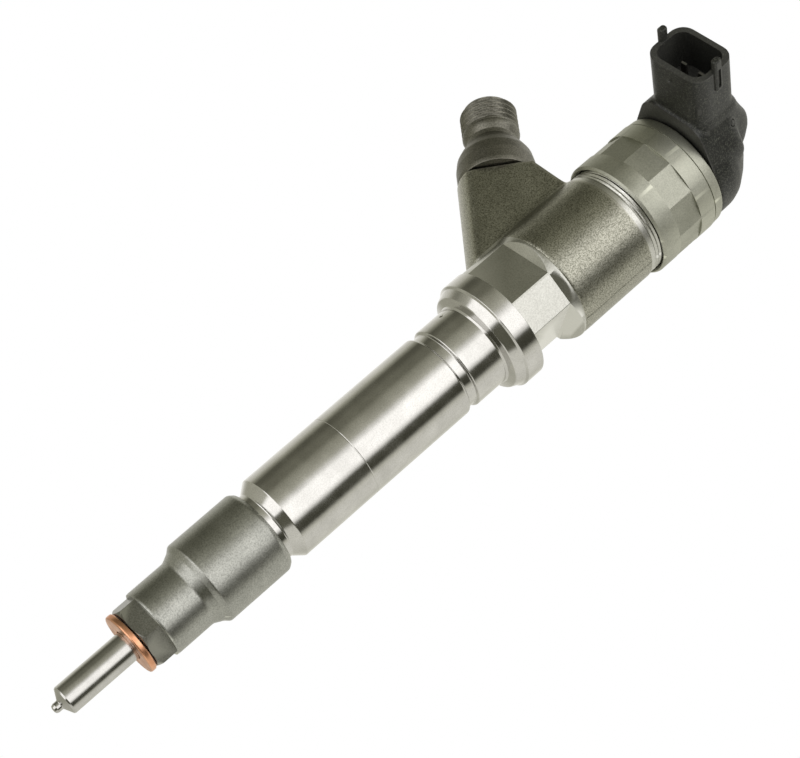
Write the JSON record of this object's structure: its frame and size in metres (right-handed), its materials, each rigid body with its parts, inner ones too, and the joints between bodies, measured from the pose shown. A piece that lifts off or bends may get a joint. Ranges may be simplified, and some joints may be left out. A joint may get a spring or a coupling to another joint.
{
  "type": "fuel injector",
  "caption": "Solenoid common-rail diesel injector with a long barrel, leaning screwed fuel inlet, head nut and side electrical plug.",
  "frame": {"origin": "centre of the small flat at the nozzle's tip, on the injector's axis", "axes": "+Z along the injector from the tip to the head, +X to the side the fuel inlet leans to, +Y to the side the electrical plug points to"},
  "size_m": [0.0663, 0.0516, 0.2076],
  "materials": {
    "ground_steel": "ground and polished bearing steel",
    "nut_steel": "satin turned steel, warm grey",
    "forged_steel": "forged and blasted steel above, bright ground steel on the barrel, collar and flats",
    "phosphated_steel": "dark phosphate finish",
    "plated_steel": "satin grey-green zinc plating",
    "spring_steel": "drawn spring wire",
    "hardened_steel": "ground hardened steel",
    "copper": "bare copper",
    "magnet_iron": "sintered soft iron",
    "black_plastic": "moulded glass-filled polyamide, fine matt grain",
    "bobbin_plastic": "amber moulded plastic",
    "seal_rubber": "fluorocarbon rubber",
    "terminal_tin": "tin-plated bronze"
  },
  "bodies": {
    "injector": {"nozzle_body": "ground_steel", "nozzle_nut": "nut_steel", "sealing_washer": "copper", "nozzle_dowel_a": "hardened_steel", "nozzle_dowel_b": "hardened_steel", "nozzle_spring": "spring_steel", "spring_shim": "hardened_steel", "holder_body": "forged_steel", "inlet_stud": "phosphated_steel", "edge_filter": "hardened_steel", "valve_body": "hardened_steel", "valve_seal_ring": "bobbin_plastic", "valve_clamp_nut": "hardened_steel", "armature_guide": "hardened_steel", "armature_return_spring": "spring_steel", "lift_shim": "hardened_steel", "magnet_o_ring": "seal_rubber", "solenoid_housing": "plated_steel", "magnet_core": "magnet_iron", "coil_bobbin": "bobbin_plastic", "coil_winding": "copper", "solenoid_spring": "spring_steel", "spring_adjust_shim": "hardened_steel", "solenoid_nut": "plated_steel", "connector_cap": "black_plastic", "terminal_a": "terminal_tin", "terminal_b": "terminal_tin"},
    "needle": {"nozzle_needle": "hardened_steel", "pressure_pin": "hardened_steel"},
    "control_rod": {"control_rod": "hardened_steel"},
    "armature": {"armature_bolt": "hardened_steel", "armature_clip": "spring_steel", "ball_retainer": "hardened_steel"},
    "ball": {"control_ball": "hardened_steel"},
    "armature_plate": {"armature_plate": "magnet_iron"}
  },
  "joints": [
    {"name": "rod_lift", "type": "slide", "parent": "injector", "child": "control_rod", "axis": [0, 0, 1], "range_m": [0, 0.00025]},
    {"name": "needle_lift", "type": "slide", "parent": "injector", "child": "needle", "axis": [0, 0, 1], "range_m": [0, 0.00025], "deforming": ["nozzle_spring"]},
    {"name": "armature_lift", "type": "slide", "parent": "injector", "child": "armature", "axis": [0, 0, 1], "range_m": [0, 0.00006], "deforming": ["solenoid_spring"]},
    {"name": "ball_lift", "type": "slide", "parent": "injector", "child": "ball", "axis": [0, 0, 1], "range_m": [0, 0.00006]},
    {"name": "plate_overtravel", "type": "slide", "parent": "armature", "child": "armature_plate", "axis": [0, 0, 1], "range_m": [-0.00004, 0], "deforming": ["armature_return_spring"]}
  ],
  "couplings": [
    {"joint": "needle_lift", "follows": "rod_lift", "ratio": 1},
    {"joint": "ball_lift", "follows": "armature_lift", "ratio": 1}
  ]
}
